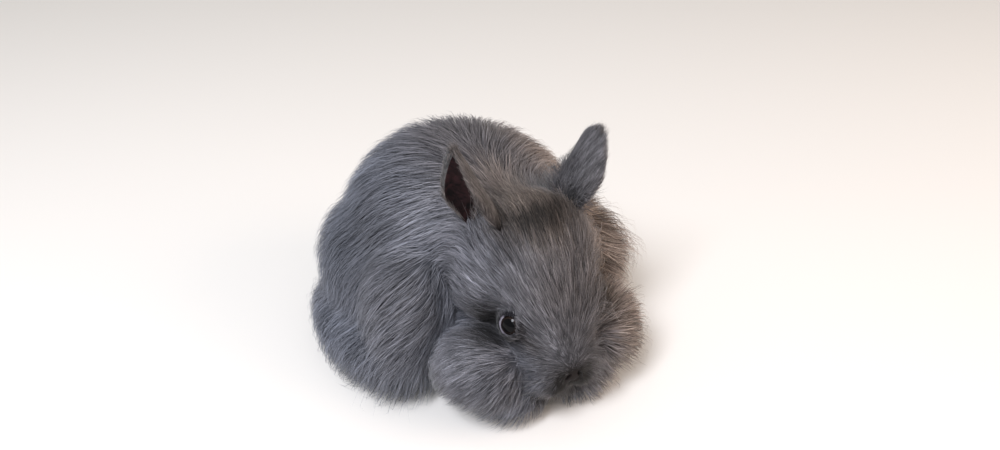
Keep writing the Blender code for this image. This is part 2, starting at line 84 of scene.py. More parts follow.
def addObject(name, mesh):
    item = bpy.data.objects.new(name, mesh)
    bpy.context.scene.collection.objects.link(item)
    return item


def removeObject(item):
    mesh = item.data
    bpy.data.objects.remove(item, do_unlink=True)
    bpy.data.meshes.remove(mesh)


def evaluatedMesh(item):
    graph = bpy.context.evaluated_depsgraph_get()
    return bpy.data.meshes.new_from_object(item.evaluated_get(graph), depsgraph=graph)


def applyModifiers(item):
    mesh = evaluatedMesh(item)
    item.modifiers.clear()
    oldMesh = item.data
    item.data = mesh
    bpy.data.meshes.remove(oldMesh)


def smoothen(item, rounds, group=""):
    modifier = item.modifiers.new("Smooth", "SMOOTH")
    modifier.factor = 0.5
    modifier.iterations = rounds
    modifier.vertex_group = group
    applyModifiers(item)


def meshFrom(name, build):
    # build draws into a bmesh, which becomes a new object
    shape = bmesh.new()
    build(shape)
    mesh = bpy.data.meshes.new(name)
    shape.to_mesh(mesh)
    shape.free()
    return addObject(name, mesh)


def changeMesh(item, change):
    shape = bmesh.new()
    shape.from_mesh(item.data)
    change(shape)
    shape.to_mesh(item.data)
    shape.free()


def ball(name, centre, radii, turn=(0, 0, 0), side=1, detail=4):
    matrix = Matrix.LocRotScale(Vector(onSide(centre, side)) * mm, turned(turn, side), Vector(radii) * mm)
    return meshFrom(name, lambda shape: bmesh.ops.create_icosphere(
        shape, subdivisions=detail, radius=1, matrix=matrix))


def cut(item, cutter, operation="DIFFERENCE"):
    modifier = item.modifiers.new("Cut", "BOOLEAN")
    modifier.operation = operation
    modifier.solver = "MANIFOLD"
    modifier.object = cutter
    applyModifiers(item)
    removeObject(cutter)


def surfaceOf(mesh):
    return BVHTree.FromPolygons([vertex.co for vertex in mesh.vertices],
                                [tuple(face.vertices) for face in mesh.polygons])


def pointTree(points):
    tree = KDTree(len(points))
    for i, point in enumerate(points):
        tree.insert(point, i)
    tree.balance()
    return tree


def readValues(items, name, width=1, kind=float):
    values = np.zeros(len(items) * width, kind)
    items.foreach_get(name, values)
    return values.reshape(-1, width) if width > 1 else values


def storeValues(items, name, values, kind=np.float32):
    items.foreach_set(name, values.reshape(-1).astype(kind))


# Materials

def addNode(tree, kind, settings=None, links=None):
    # settings are properties, or values of inputs by name or number; links are sockets that feed inputs
    node = tree.nodes.new(kind)
    for key, value in (settings or {}).items():
        if isinstance(key, str) and hasattr(node, key):
            setattr(node, key, value)
        else:
            node.inputs[key].default_value = value
    for key, socket in (links or {}).items():
        tree.links.new(socket, node.inputs[key])
    return node


def newMaterial(name, settings):
    material = bpy.data.materials.new(name)
    material.use_nodes = True
    inputs = material.node_tree.nodes["Principled BSDF"].inputs
    for key, value in settings.items():
        inputs[key].default_value = value
    return material, material.node_tree, inputs


def addAttribute(tree, name, output="Color"):
    return addNode(tree, "ShaderNodeAttribute", {"attribute_name": name}).outputs[output]


def addNoise(tree, settings):
    place = addNode(tree, "ShaderNodeTexCoord")
    return addNode(tree, "ShaderNodeTexNoise", settings, {"Vector": place.outputs["Object"]}).outputs["Fac"]


def addRamp(tree, factor, stops):
    # stops are places along the ramp, in order, with their colours
    ramp = addNode(tree, "ShaderNodeValToRGB", {}, {"Fac": factor})
    elements = ramp.color_ramp.elements
    for number, (position, colour) in enumerate(stops):
        stop = elements[number] if number < 2 else elements.new(position)
        stop.position = position
        stop.color = opaque(colour)
    return ramp.outputs["Color"]


def addBump(tree, height, strength, distance):
    bump = addNode(tree, "ShaderNodeBump", {"Strength": strength, "Distance": distance}, {"Height": height})
    return bump.outputs["Normal"]


# Long, soft undyed hair: each hair scatters light, so it is matt with a faint sheen along its tips
hairStuff, tree, inputs = newMaterial("longSoftHair", {
    "Roughness": 0.62, "IOR": 1.55, "Specular IOR Level": 0.22,
    "Sheen Weight": 0.12, "Sheen Roughness": 0.4})
tree.links.new(addAttribute(tree, "hairColour"), inputs["Base Color"])

# Skin under short down: the down shows as fine bumps less than a millimetre apart
skinStuff, tree, inputs = newMaterial("downySkin", {
    "Roughness": 0.75, "IOR": 1.45, "Specular IOR Level": 0.2})
down = addNoise(tree, {"Scale": 1400, "Detail": 3, "Roughness": 0.6})
patches = addNoise(tree, {"Scale": 160, "Detail": 2})
shade = addNode(tree, "ShaderNodeMapRange",
                {"From Min": 0.3, "From Max": 0.7, "To Min": 0.7, "To Max": 1.25}, {"Value": patches})
tint = addNode(tree, "ShaderNodeVectorMath", {"operation": "SCALE"},
               {0: addAttribute(tree, "skinColour"), "Scale": shade.outputs["Result"]})
tree.links.new(tint.outputs["Vector"], inputs["Base Color"])
tree.links.new(addBump(tree, down, 0.5, 0.0004), inputs["Normal"])

# Thin bare skin of the ear's cup: dark, reddish where light shines through it, and almost matt
earStuff, tree, inputs = newMaterial("thinEarSkin", {
    "Roughness": 0.6, "IOR": 1.45, "Specular IOR Level": 0.1, "Subsurface Weight": 0.15,
    "Subsurface Scale": 0.002, "Subsurface Radius": (1.0, 0.35, 0.25)})
veins = addNoise(tree, {"Scale": 220, "Detail": 4, "Distortion": 1.2})
tree.links.new(addRamp(tree, veins, [(0.35, "#0b0809"), (0.7, "#2b191b")]), inputs["Base Color"])
tree.links.new(addBump(tree, veins, 0.3, 0.0003), inputs["Normal"])


def eyeMaterial(word):
    # A live eye: a near-black brown iris and pupil under a wet, clear cornea
    material, tree, inputs = newMaterial("wetEye" + word.capitalize(), {
        "Roughness": 0.04, "IOR": 1.376, "Specular IOR Level": 0.2})
    rays = addNoise(tree, {"Scale": 900, "Detail": 2})
    wave = addNode(tree, "ShaderNodeMath", {"operation": "MULTIPLY_ADD", 1: 0.12},
                   {0: rays, 2: addAttribute(tree, "offAxis", "Fac")})
    colour = addRamp(tree, wave.outputs["Value"], [(0.50, "#050507"), (0.58, "#1f1713"), (0.88, "#0b090a")])
    tree.links.new(colour, inputs["Base Color"])
    return material


def hornMaterial(name, dark, pale):
    # Horn of stiff single hairs and claws: smoother than the coat, in two shades that melt together
    material, tree, inputs = newMaterial(name, {"Roughness": 0.38, "IOR": 1.55, "Transmission Weight": 0.1})
    shade = addNoise(tree, {"Scale": 120, "Detail": 1})
    tree.links.new(addRamp(tree, shade, [(0, dark), (1, pale)]), inputs["Base Color"])
    return material


whiskerStuff = hornMaterial("whiskerHair", "#8f8c8b", "#bdbab7")
lashStuff = hornMaterial("lashHair", "#1c1a1c", "#39353a")
clawStuff = hornMaterial("claw", "#2a2523", "#54493f")
print("materials ready")

# The masses of the body: centre, half sizes out to the coat's tips, depth of coat, turn in degrees
middleMasses = [
    ((0, 2, 60), (66, 71, 57), 18, (0, 0, 0)),  # torso
    ((0, 24, 52), (62, 56, 50), 18, (0, 0, 0)),  # rump
    ((0, -42, 40), (48, 34, 37), 15, (0, 0, 0)),  # chest
    ((0, -46, 74), (42, 34, 33), 16, (-20, 0, 0)),  # neck
    ((0, -66, 84), (30, 24, 25), 8, (-28, 0, 0)),  # cranium
    ((0, -78, 66), (24, 25, 42), 3, (-26, 0, 0)),  # bridge of the nose
    ((0, -92, 41), (18.5, 17, 18.5), 1.5, (-20, 0, 0)),  # muzzle
    ((0, -84, 23), (14, 17, 14), 4, (0, 0, 0)),  # chin
    ((0, -104.5, 36), (5.5, 4.5, 5), 0, (0, 0, 0)),  # nose
    ((0, 76, 37), (15, 13, 18), 9, (20, 0, 0)),  # tail
]
sideMasses = [
    ((46, 8, 40), (33, 52, 40), 17, (6, 0, 0)),  # haunch
    ((42, -12, 38), (33, 40, 37), 17, (0, 0, 0)),  # flank
    ((57, -3, 17), (31, 56, 20), 15, (0, 0, 0)),  # skirt
    ((46, -36, 42), (29, 31, 42), 16, (0, 0, 0)),  # shoulder
    ((21, -62, 66), (17, 22, 26), 9, (-10, 0, 0)),  # temple
    ((31, -77, 34), (27, 26, 24), 13, (8, 0, 0)),  # cheek
    ((17, -82, 15), (19, 18, 14), 8, (0, 0, 0)),  # bib
    ((7.5, -98, 31), (10, 9.5, 9), 1.5, (0, 0, 0)),  # whisker pad
]
limbMasses = [
    ((38, -36, 22), (13, 15, 15), 2, (0, 0, 0)),  # elbow
    ((29, -56, 12), (10, 22, 9), 2, (0, 0, 24)),  # forearm
    ((21, -76, 5.3), (8.5, 12, 6.5), 1.5, (0, 0, 10)),  # forepaw
    ((43, 48, 8), (9, 14, 9), 2, (0, 0, 0)),  # heel
    ((46, 22, 6), (9.5, 33, 7.5), 2, (0, 0, -3)),  # sole
    ((48, -1, 5.6), (10, 15, 6.8), 2, (0, 0, -3)),  # toes
]
body = dict(
    share=0.5,                  # the skin stops this share of the coat's depth short of its tips
    skinCell=1.3, skinSmoothing=9, bodySmoothing=90, hollowSmoothing=4,
    coatCell=3.0, coatSmoothing=14, floor=0.5,
    soft=((-66, 20), (9, 12)),  # the soft form starts at this y and z, and takes this far to be full
    fine=((0, -104, 34), 26, 14.5))     # faces are finer within 26 mm of the nose and 14.5 mm of an eye
nose = dict(
    tip=(0, -107, 37), bareMiddle=(0, -108.5, 33.5), bareRadius=4.6, darkMiddle=(0, -108, 33), darkRadius=6.5,
    groove=((0, -108, 27.5), (0.8, 3.4, 6), (-14, 0, 0)),
    nostril=((3.2, -108.1, 35.6), (1.0, 2.8, 2.4), (0, -38, 0)),
    mouth=((5.2, -103.6, 21.8), (7.0, 5.4, 0.9), (0, 24, 20)))
ear = dict(
    root=(18, -61, 93), tips={-1: (-34, -62.5, 136), 1: (41.5, -59, 130)}, lowest=85,
    length={-1: 44.5, 1: 39.5}, width={-1: 31, 1: 27.5}, rootWidth={-1: 0.72, 1: 0.9}, widest=0.42,
    facing={-1: (-0.92, -0.36, 0), 1: (0.97, 0.03, 0)}, frontCurl={-1: (0.95, 1.9), 1: (1.5, 0.8)},
    backCurl={-1: (1.35, 0.8), 1: (1.5, 0.8)}, tipRoundness={-1: 1.4, 1: 1.8}, tipPower={-1: 0.75, 1: 0.5},
    tipHalfWidth=1.6, bow=2.5, seat=0.33, ripple=0.5, wall=0.8, cup=8, steps=32)


def mirrored(masses):
    return [(mass, side) for mass in masses for side in (1, -1)]


def melted(name, masses, share, cell, smoothing):
    # One closed form out of many balls
    def build(shape):
        for (centre, radii, depth, turn), side in masses:
            size = [(radius - depth * share) * mm for radius in radii]
            bmesh.ops.create_icosphere(shape, subdivisions=4, radius=1, matrix=Matrix.LocRotScale(
                Vector(onSide(centre, side)) * mm, turned(turn, side), size))
    item = meshFrom(name, build)
    remesh = item.modifiers.new("Melt", "REMESH")
    remesh.mode = "VOXEL"
    remesh.voxel_size = cell * mm
    smoothen(item, smoothing)
    return item


def earAxes(side):
    root = Vector(onSide(ear["root"], side)) * mm
    axis = (Vector(ear["tips"][side]) * mm - root).normalized()
    facing = Vector(ear["facing"][side])
    facing = (facing - axis * facing.dot(axis)).normalized()
    return root, axis, facing


def earPoint(side, over, along):
    # over runs from -1 to 1 across the ear, along from 0 at its root to 1 at its tip
    root, axis, facing = earAxes(side)
    if along < ear["widest"]:
        rootWidth = ear["rootWidth"][side]
        outline = rootWidth + (1 - rootWidth) * math.sin(math.pi / 2 * along / ear["widest"])
    else:
        outline = max(1 - ((along - ear["widest"]) / (1 - ear["widest"])) ** ear["tipRoundness"][side], 0)
        outline = outline ** ear["tipPower"][side]
    halfWidth = max(ear["width"][side] / 2 * outline, ear["tipHalfWidth"]) * mm
    rootCurl, tipCurl = ear["frontCurl" if over * side < 0 else "backCurl"][side]
    curl = rootCurl + (tipCurl - rootCurl) * along ** 0.8
    radius = halfWidth / curl
    angle = over * curl
    bow = ear["bow"] * mm * math.sin(math.pi * along)
    ripple = ear["ripple"] * mm * math.sin(9 * along + 3 * over) * abs(over) ** 3
    return (root + axis * (along * ear["length"][side] * mm) + axis.cross(facing) * (radius * math.sin(angle))
            + facing * (radius * (1 - math.cos(angle)) - halfWidth * ear["seat"] + bow + ripple))


earTrees = []


def earSheet(side):
    # A sheet rolled into a near tube at its root, which opens into a cup
    def build(shape):
        bmesh.ops.create_grid(shape, x_segments=ear["steps"], y_segments=ear["steps"], size=1)
        for vertex in shape.verts:
            vertex.co = earPoint(side, vertex.co.x, 1 - ((1 - vertex.co.y) / 2) ** 1.4)
        bmesh.ops.recalc_face_normals(shape, faces=shape.faces)
    item = meshFrom("ear", build)
    solidify = item.modifiers.new("Wall", "SOLIDIFY")
    solidify.thickness = ear["wall"] * mm
    solidify.offset = 0
    applyModifiers(item)
    # Faces that look into the cup are bare skin
    root, axis, facing = earAxes(side)
    inner = []
    for face in item.data.polygons:
        inward = (root + axis * axis.dot(face.center - root) + facing * ear["cup"] * mm) - face.center
        inner.append(face.normal.dot(inward) > 0.2 * inward.length)
    earTrees.append((surfaceOf(item.data), inner))
    return item


def weighBody(item):
    # The body is one soft form, while head and feet keep their shape
    group = item.vertex_groups.new(name="body")
    (startY, overY), (startZ, overZ) = body["soft"]
    for vertex in item.data.vertices:
        x, y, z = vertex.co / mm
        weight = min(max((y - startY) / overY, 0), 1) * min(max((z - startZ) / overZ, 0), 1)
        group.add([vertex.index], weight, "REPLACE")


# The coat's tips reach out to coatShape, and the hair grows from skin
bodyMasses = [(mass, 1) for mass in middleMasses] + mirrored(sideMasses)
coatShape = melted("coatShape", bodyMasses, 0, body["coatCell"], body["coatSmoothing"])
skinMasses = bodyMasses + mirrored(limbMasses)
skin = melted("skin", skinMasses, body["share"], body["skinCell"], body["skinSmoothing"])
weighBody(skin)
smoothen(skin, body["bodySmoothing"], "body")
for side in (-1, 1):
    for centre, radii in (eye["hollow"], eye["pocket"]):
        cut(skin, ball("hollow", centre, radii, side=side))
smoothen(skin, body["hollowSmoothing"])


def eyePlace(side):
    return Vector(onSide(eye["place"], side)) * mm


def gaze(side):
    return Vector(onSide(eye["gaze"], side)).normalized()


def refine(shape):
    # Cuts the faces near nose and eyes into smaller ones
    noseSpot, noseReach, eyeReach = body["fine"]
    spots = [(Vector(noseSpot) * mm, noseReach * mm)] + [(eyePlace(side), eyeReach * mm) for side in (-1, 1)]
    edges = []
    for edge in shape.edges:
        middle = (edge.verts[0].co + edge.verts[1].co) / 2
        if any((middle - spot).length < reach for spot, reach in spots):
            edges.append(edge)
    bmesh.ops.subdivide_edges(shape, edges=edges, cuts=1, use_grid_fill=True, smooth=0.6)
    bmesh.ops.triangulate(shape, faces=shape.faces)


changeMesh(skin, refine)
inner = eye["radius"] + eye["gap"]
outer = inner + eye["lid"]
for side in (-1, 1):
    cut(skin, ball("lids", eye["place"], (outer, outer, outer), side=side), "UNION")
    cut(skin, ball("socket", eye["place"], (inner, inner, inner), side=side))
    matrix = Matrix.LocRotScale(
        eyePlace(side) + gaze(side) * eye["radius"] * mm, gaze(side).to_track_quat("Z", "Y").to_euler(),
        Vector((*eye["opening"], eye["radius"] * eye["openingDepth"])) * mm)
    cut(skin, meshFrom("opening", lambda shape: bmesh.ops.create_cone(
        shape, cap_ends=True, segments=64, radius1=0.86, radius2=1.08, depth=1, matrix=matrix)))
    cut(skin, earSheet(side), "UNION")
    for centre, radii, turn in (nose["nostril"], nose["mouth"]):
        cut(skin, ball("line", centre, radii, turn, side, 3))
cut(skin, ball("groove", *nose["groove"], detail=3))
matrix = Matrix.LocRotScale(Vector((0, 0, body["floor"] * mm - 0.2)), Euler(), (0.4, 0.4, 0.4))
cut(skin, meshFrom("floorCut", lambda shape: bmesh.ops.create_cube(shape, size=1, matrix=matrix)))
print("skin formed:", len(skin.data.polygons), "faces")


def keepLargest(shape):
    # Drops scraps that the cuts leave
    bmesh.ops.triangulate(shape, faces=shape.faces)
    unseen = set(shape.faces)
    pieces = []
    while unseen:
        piece = {unseen.pop()}
        front = list(piece)
        while front:
            for edge in front.pop().edges:
                for face in edge.link_faces:
                    if face in unseen:
                        unseen.discard(face)
                        piece.add(face)
                        front.append(face)
        pieces.append(piece)
    pieces.sort(key=len)
    loose = [face for piece in pieces[:-1] for face in piece]
    bmesh.ops.delete(shape, geom=loose, context="FACES")


def markEars(item):
    # Material 0 is the body's skin, 1 the bare cup of an ear and 2 its furred back
    marks = np.zeros(len(item.data.polygons), np.int32)
    for face in item.data.polygons:
        if face.center.z < ear["lowest"] * mm:
            continue
        for tree, inner in earTrees:
            _, _, index, distance = tree.find_nearest(face.center)
            if distance < 0.03 * mm:
                marks[face.index] = 1 if inner[index] else 2
    item.data.materials.clear()
    for material in (skinStuff, earStuff, skinStuff):
        item.data.materials.append(material)
    item.data.polygons.foreach_set("material_index", marks)


changeMesh(skin, keepLargest)
markEars(skin)


def finishPiece(item, material=None):
    # Puts a piece in the centred place and makes it ride on the body
    item.data.transform(Matrix.Translation(shift))
    if material:
        item.data.materials.clear()
        item.data.materials.append(material)
    item.data.shade_smooth()
    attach(item, "root")


def unwrap(item):
    # A flat map of the skin's own shape, which the tufts take their patches from
    item.data.uv_layers.new(name="OFBake")
    bpy.context.view_layer.objects.active = item
    item.select_set(True)
    bpy.ops.object.mode_set(mode="EDIT")
    bpy.ops.mesh.select_all(action="SELECT")
    bpy.ops.uv.smart_project(angle_limit=math.radians(66), island_margin=0.004)
    bpy.ops.object.mode_set(mode="OBJECT")
    item.select_set(False)


unwrap(skin)
print("skin unwrapped")

# Coat. It is blue grey, browner on the nape, between the ears and along the left side
coat = dict(
    cool=("#2a2c33", "#5f636d", "#888b96"),  # roots, middles and tips
    warm=("#2a2320", "#685b55", "#a0948a"),
    middleAt=0.45, underCoat=0.5, noseSkin="#191312", lidSkin="#121116", lidEdge="#716d76",
    clumps=5000, clumpTone=0.12, clumpReach=14, strands=60000, strandTone=0.22, streakTone=0.065,
    swirl=0.07, apart=2.2, softness=0.66, sink=0.6, deepest=11)
lay = dict(
    headEnd=-56, blend=24, fall=0.25, cheek=((40, -74, 30), 24, 0.9), outward=13, back=0.6, down=1.0,
    lowDown=1.6, low=(15, 95), eyeRing=(1.0, 2.1), hang=(24, 46), hangLength=9)
# Length of the hair in mm, how dense it is, and what changes both from place to place
cover = dict(
    body=21, head=13, headFrom=(-62, -44), muzzle=3.8, muzzleReach=(6, 33), cheek=((38, -78, 32), 24, 5),
    lids=(2.3, 2.5), eyeRing=(1.0, 2.6), pocket=(5, 8), ears=(6.0, 8, 15), foot=5.0, footTop=12,
    under=(0.5, 0.95), skirt=(20, 42), nearFloor=(3, 18), density=(0.75, 3.2), denseAt=13, onEars=1.6)
# Slow changes of light and brown over the coat. Both grow towards the left, and the brown fades at the rump.
# The growing light on the left is painted light, standing in for the warm light that falls on that side
tones = dict(
    drift=0.10, brown=0.10, brownSide=(8, 44), rump=(-25, 35), rumpFade=0.6, paintedLightSide=(22, 56),
    paintedLightGain=0.34, lidRing=(1.1, 1.7), lidDark=0.4, earBrown=(0.75, 0.35), earLight=0.55, rimWidth=0.8)
# Slow light, dark and brown patches: centre, reach, light, warmth. Those off the middle are on both sides.
# Some are the coat's own markings; the darkening in hollows, partings, creases and under the mouth is painted
# shade, and the lighter top of the cheek is painted light
markingsAndPaintedShading = [
    ((5, -76, 104), 9, -0.78, 0.95),  # painted shade in the gap between forehead and crown, which is browner too
    ((17, -68, 102), 8, -0.70, 0.6),  # painted shade at the foot of the ear, which is browner too
    ((0, -61, 108), 13, -0.25, 0.8),  # crown
    ((5, -86, 99), 9, -0.25, 0.45),  # top of the forehead
    ((0, -38, 108), 22, 0.0, 0.80),  # nape
    ((0, 8, 113), 32, -0.20, 0.45),  # back
    ((18, -79, 98), 5, -0.50, 0.3),  # painted shade in the parting beside the forehead, in three
    ((22, -82, 88), 5, -0.40, 0.1),
    ((23, -86, 77), 5, -0.38, 0.0),
    ((30, -79, 56), 10, -1.08, 0.2),  # painted shade in the hollow behind the eye, with the next row
    ((25, -86, 53), 5, -0.60, 0.1),
    ((20, -94, 59), 5, -0.35, 0.1),  # painted shade in the parting below the eye, in three
    ((18, -97, 51), 5, -0.42, 0.3),
    ((13, -103, 44), 6, -0.28, 0.1),
    ((50, -66, 56), 7, -0.50, 0.0),  # painted shade in the crease above the cheek
    ((43, -37, 90), 14, 0.50, 0.0),  # pale patch behind the ear
    ((49, -77, 48), 10, 0.16, 0.0),  # painted light on the top of the cheek
    ((62, 5, 64), 30, -0.30, 0.0),  # painted shade on the side of the back
    ((0, -95, 80), 22, -0.33, 0.38),  # forehead
    ((0, -103, 50), 14, -0.30, 0.1),  # muzzle
    ((2, -106, 29), 11, -1.0, 0.6),  # nose and mouth, dark partly in their own colour and partly in painted shade
    ((0, -109, 31), 9, -0.8, 0.4),  # tip of the nose, dark partly in its own colour and partly in painted shade
    ((10, -100, 22), 4, 0.9, 0.6),  # lip
    ((6, -97, 15), 9, -0.75, 0.4),  # painted shadow under the mouth, on the chin
]
# Where the coat stands out: centre, reach, how much further, how much longer, and whether on both sides
ruffled = [
    ((36, -84, 50), 17, 6, 3, False), ((37, -70, 72), 16, 15, 8, False), ((62, -40, 52), 24, 6, 5, False),
    ((46, -84, 24), 18, 7, 4, False), ((24, -92, 22), 12, 4, 3, False), ((-58, -56, 32), 17, 9, 4, False),
    ((0, -56, 104), 13, 7, 9, True), ((13, -58, 100), 8, 6, 8, True), ((28, -52, 95), 15, 14, 11, False),
    ((24, -76, 96), 9, 4, 6, True), ((19, -98, 58), 12, 11, 7, False), ((21, -91, 76), 13, 11, 8, False),
    ((15, -100, 38), 11, 10, 7, False), ((25, -66, 96), 8, 20, 10, False), ((-27, -66, 92), 8, 7, 6, False),
    ((50, -58, 70), 16, 10, 9, False), ((14, -99, 44), 10, 2.5, 3, True), ((13, -98, 30), 10, 4, 5, True),
    ((21, -93, 34), 9, 2, 2, True)]
# Directions and starts of the waves that swirl the coat and streak its tone
waves = [(chance.normal(size=3) * scale, chance.uniform(0, 6.28)) for scale in (60, 60, 110, 110, 190, 190)]
streaks = [(chance.normal(size=3) * scale, chance.uniform(0, 6.28)) for scale in (60, 80, 110, 140, 180, 220)]


def rows(values):
    return np.asarray(values, float)


def unit(vectors):
    return vectors / np.maximum(np.linalg.norm(vectors, axis=-1, keepdims=True), 1e-9)


def dots(first, second):
    return np.sum(first * second, axis=-1, keepdims=True)


def smoothStep(low, high, values):
    share = np.clip((values - low) / (high - low), 0, 1)
    return share * share * (3 - 2 * share)


def mix(first, second, share):
    return first * (1 - share) + second * share


def folded(points):
    # The same places on the left side
    return points * (0, 1, 1) + np.abs(points) * (1, 0, 0)


def distanceTo(points, spot):
    return np.linalg.norm(points / mm - rows(spot), axis=-1)


def nearSpot(points, spot, reach, bothSides=True):
    # 1 at the spot, fading to 0 round it
    return np.exp(-(distanceTo(folded(points) if bothSides else points, spot) / reach) ** 2.4)


def aroundEyes(points):
    # For each eye: how far ahead of its middle, how far aside as a share of the opening, the way outwards
    # and how much that way is the way to the nose
    for side in (-1, 1):
        turn = np.array(gaze(side).to_track_quat("Z", "Y").to_matrix())
        local = (points / mm - rows(onSide(eye["place"], side))) @ turn
        aside = np.linalg.norm(local[..., :2] / rows(eye["opening"]), axis=-1)
        outwards = unit(local[..., :2]) @ turn[:, :2].T
        toNose = unit(rows(nose["tip"]) * (side, 1, 1) - rows(onSide(eye["place"], side)))
        yield side, local[..., 2], aside, outwards, outwards @ toNose


def swirlOf(points):
    total = np.zeros(len(points))
    for wave, phase in waves:
        total += np.sin(points @ wave + phase)
    return total * coat["swirl"]


def streakTone(points, onEar):
    # Long fine streaks: on the head they start from the nose, on an ear they run along it
    away = unit(points / mm - rows(nose["tip"]))
    onHead = 1 - smoothStep(-66, -50, points[:, 1] / mm)
    onHead *= smoothStep(8, 26, distanceTo(points, nose["tip"]))
    across = points[:, 1] / mm + 0.3 * points[:, 0] / mm
    total = np.zeros(len(points))
    for number, (wave, phase) in enumerate(streaks):
        onSkull = np.sin(away @ wave + phase) * onHead
        total += np.where(onEar, 2.2 * np.sin(across * (1.6 + 1.1 * number) + phase), onSkull)
    return total * coat["streakTone"]


def layOfCoat(points, normals, onEar):
    # The way the hair lies: from the nose back over the head, then back, outwards and down
    overHead = unit(points / mm - rows(nose["tip"]))
    cheek, reach, cheekFall = lay["cheek"]
    overHead[:, 2] -= lay["fall"] + cheekFall * nearSpot(points, cheek, reach)
    low = 1 - smoothStep(*lay["low"], points[:, 2] / mm)
    overBody = np.stack([points[:, 0] * lay["outward"], np.full(len(points), lay["back"]),
                         -lay["down"] - lay["lowDown"] * low], axis=1)
    share = smoothStep(-0.5, 0.5, (points[:, 1] / mm - lay["headEnd"]) / lay["blend"])[:, None]
    way = mix(unit(overHead), unit(overBody), share)
    for side, ahead, aside, outwards, toNose in aroundEyes(points):
        root = rows(onSide(ear["root"], side))
        way[onEar & (np.sign(points[:, 0]) == side)] = unit(rows(ear["tips"][side]) - root)
        # Round the eye the hair lies away from it
        front = np.clip(toNose * 1.6, 0, 1)
        near = ((1 - smoothStep(*lay["eyeRing"], aside)) * (ahead > -3) * (1 - front))[:, None]
        way = mix(unit(way), outwards, near)
    way = unit(way - normals * dots(way, normals))
    # Slow swirls keep the coat from lying in ruled lines
    return unit(way + np.cross(normals, way) * (swirlOf(points) * (0.35 + 0.65 * share[:, 0]))[:, None])


def readSkin(mesh):
    mesh.calc_loop_triangles()
    triangles = mesh.loop_triangles
    return dict(
        corners=readValues(triangles, "vertices", 3, np.int32),
        loops=readValues(triangles, "loops", 3, np.int32),
        areas=readValues(triangles, "area"), stuff=readValues(triangles, "material_index", 1, np.int32),
        places=readValues(mesh.vertices, "co", 3), normals=readValues(mesh.vertex_normals, "vector", 3),
        uvs=readValues(mesh.uv_layers["OFBake"].uv, "vector", 2))


skinData = readSkin(skin.data)
skinTree = BVHTree.FromPolygons(skinData["places"].tolist(), skinData["corners"].tolist())
coatTree = surfaceOf(coatShape.data)
rimTree = pointTree([earPoint(side, over, step / 199)
                     for side in (-1, 1) for over in (-1, 1) for step in range(200)])


def fromRim(points):
    return np.array([rimTree.find(point)[2] for point in points.tolist()]) / mm


def onLimb(points):
    inside = np.zeros(len(points), bool)
    for (centre, radii, _, turn), side in mirrored(limbMasses):
        away = (points / mm - rows(onSide(centre, side))) @ np.array(turned(turn, side).to_matrix())
        inside |= np.sum((away / (rows(radii) + 1.5)) ** 2, axis=1) < 1
    return inside


def coatLook(points, normals, onEar):
    # Length of the hair, how much further it may stand out and how dense it is, all from its place
    y, z = points[:, 1] / mm, points[:, 2] / mm
    head = 1 - smoothStep(*cover["headFrom"], y)
    length = cover["body"] + (cover["head"] - cover["body"]) * head
    muzzle = 1 - smoothStep(*cover["muzzleReach"], distanceTo(points, nose["tip"]))
    length = mix(length, cover["muzzle"], muzzle)
    spot, reach, shorter = cover["cheek"]
    length -= shorter * nearSpot(points, spot, reach) * (1 - muzzle)
    stand = np.zeros(len(points))
    for centre, reach, further, longer, bothSides in ruffled:
        near = nearSpot(points, centre, reach, bothSides)
        stand = np.maximum(stand, further * near)
        length += longer * near * (1 - muzzle)
    shortest, inFront = cover["lids"]
    for _, ahead, aside, _, toNose in aroundEyes(points):
        near = (1 - smoothStep(*cover["eyeRing"], aside)) * (ahead > -4)
        length = mix(length, shortest + inFront * np.clip(toNose, 0, 1), near)
    inPocket, reach = cover["pocket"]
    length = mix(length, inPocket, nearSpot(points, eye["pocket"][0], reach))
    atTip, longer, reach = cover["ears"]
    fromRoot = distanceTo(folded(points[onEar]), ear["root"])
    length[onEar] = atTip + longer * np.exp(-(fromRoot / reach) ** 2)
    length[onLimb(points) & (z < cover["footTop"])] = cover["foot"]
    under = smoothStep(*cover["under"], -normals[:, 2])
    skirt = (1 - smoothStep(*cover["skirt"], z)) * (1 - under)
    nearFloor = 0.65 + 0.35 * smoothStep(*cover["nearFloor"], z)
    length = length * (1 - 0.35 * under) * nearFloor + 2 * skirt * (length > 10)
    density = np.clip(cover["denseAt"] / length, *cover["density"])
    density = density * (1 - 0.8 * under) * (1 + 0.4 * skirt) * (1 + 0.4 * head)
    density[onEar] *= cover["onEars"]
    return length, stand, density


def toneOf(points, onEar):
    # How light and how brown the coat is, from its place, with painted shade and painted light among its
    # changes
    x, y = points[:, 0] / mm, points[:, 1] / mm
    light = 1 + tones["drift"] * np.sin(points @ waves[0][0] * 0.8 + 0.7)
    fade = 1.0 - tones["rumpFade"] * smoothStep(*tones["rump"], y)
    warm = tones["brown"] + fade * smoothStep(*tones["brownSide"], x)
    warm += tones["drift"] * np.sin(points @ waves[2][0] * 0.6 + 1.3)
    # Painted light: the left side is made lighter, standing in for the warm light that falls on it
    light += tones["paintedLightGain"] * smoothStep(*tones["paintedLightSide"], x)
    # The coat's markings, with painted shade in hollows, partings and creases and painted light on the top of
    # the cheek
    for centre, reach, lighter, warmer in markingsAndPaintedShading:
        near = nearSpot(points, centre, reach)
        light += lighter * near
        warm += warmer * near
    for _, ahead, aside, _, _ in aroundEyes(points):
        light -= tones["lidDark"] * (1 - smoothStep(*tones["lidRing"], aside)) * (ahead > 0)
    warm[onEar] = np.where(x[onEar] < 0, *tones["earBrown"])
    light[onEar] *= tones["earLight"] + np.exp(-(fromRim(points[onEar]) / tones["rimWidth"]) ** 2)
    light *= 1 + streakTone(points, onEar)
    return np.clip(light, 0.07, 2), np.clip(warm, 0, 1)


def blendColours(warm, step):
    return mix(rows(linear(coat["cool"][step])), rows(linear(coat["warm"][step])), warm[:, None])


